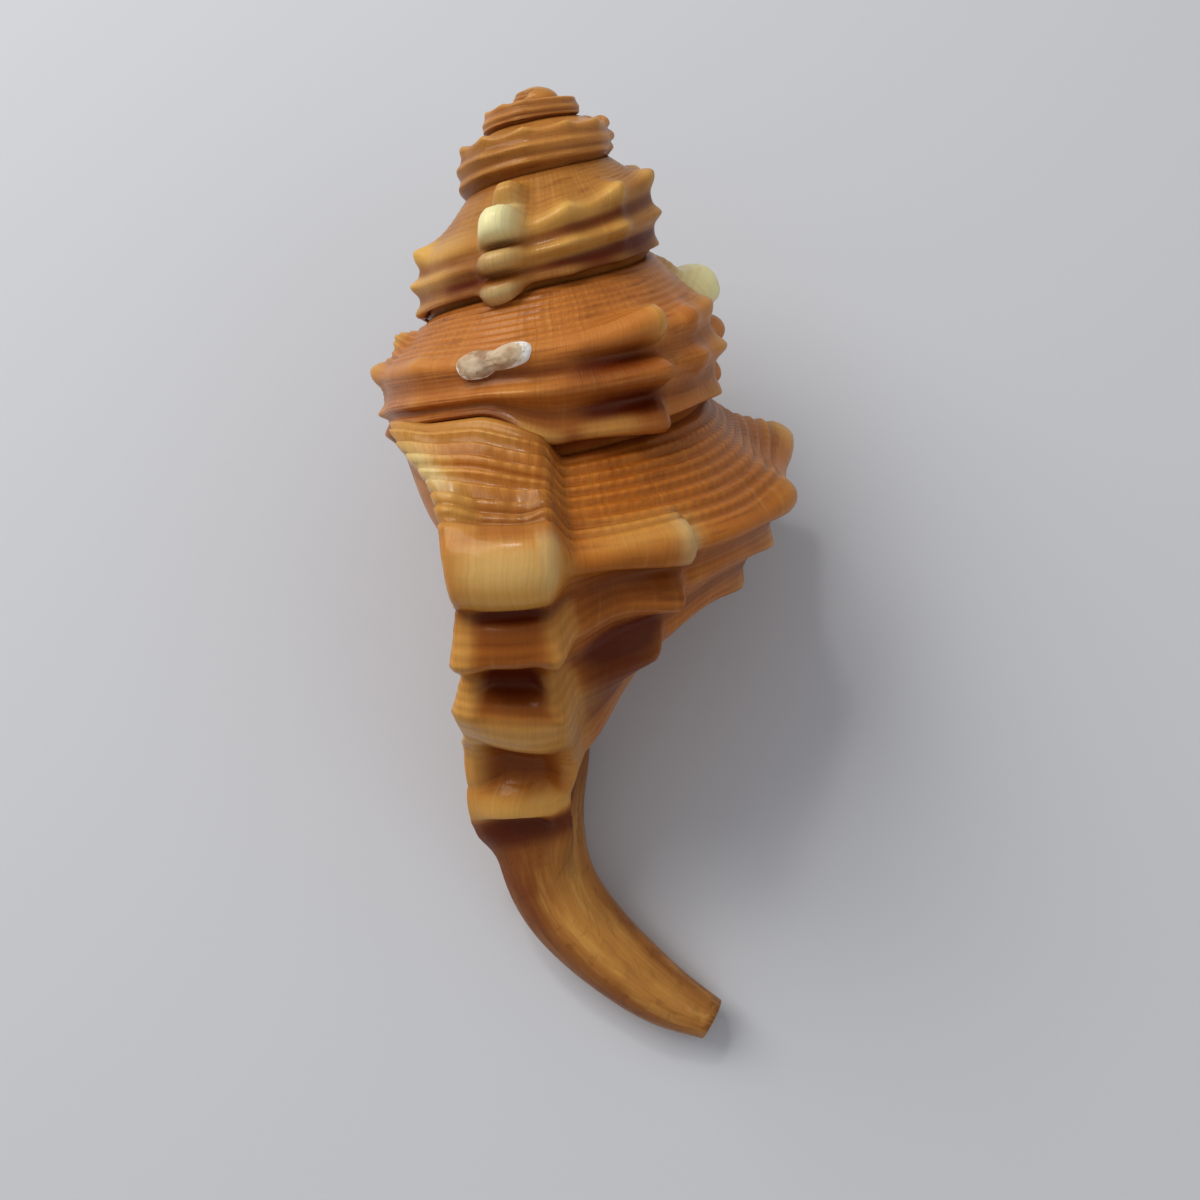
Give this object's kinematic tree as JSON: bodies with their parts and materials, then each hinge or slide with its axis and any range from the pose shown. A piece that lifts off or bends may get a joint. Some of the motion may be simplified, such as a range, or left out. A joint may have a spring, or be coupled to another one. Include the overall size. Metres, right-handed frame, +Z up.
{
  "type": "pear triton shell",
  "caption": "Right-handed triton snail shell on its side: stepped spire, knobbed shoulders, raised old lips, oval aperture and a long bent canal.",
  "frame": {"origin": "middle of the bounding box at the surface that the shell lies on", "axes": "+Z up, +Y towards the spire's cap, with the aperture facing -X and down"},
  "size_m": [0.0368, 0.0764, 0.036],
  "materials": {
    "shell": "satin orange and amber-brown shell with cream knobs and rust grooves",
    "crust": "matt chalky crust, off-white with a brown patch"
  },
  "bodies": {
    "root": {"shell": "shell", "crust": "crust"}
  },
  "joints": []
}
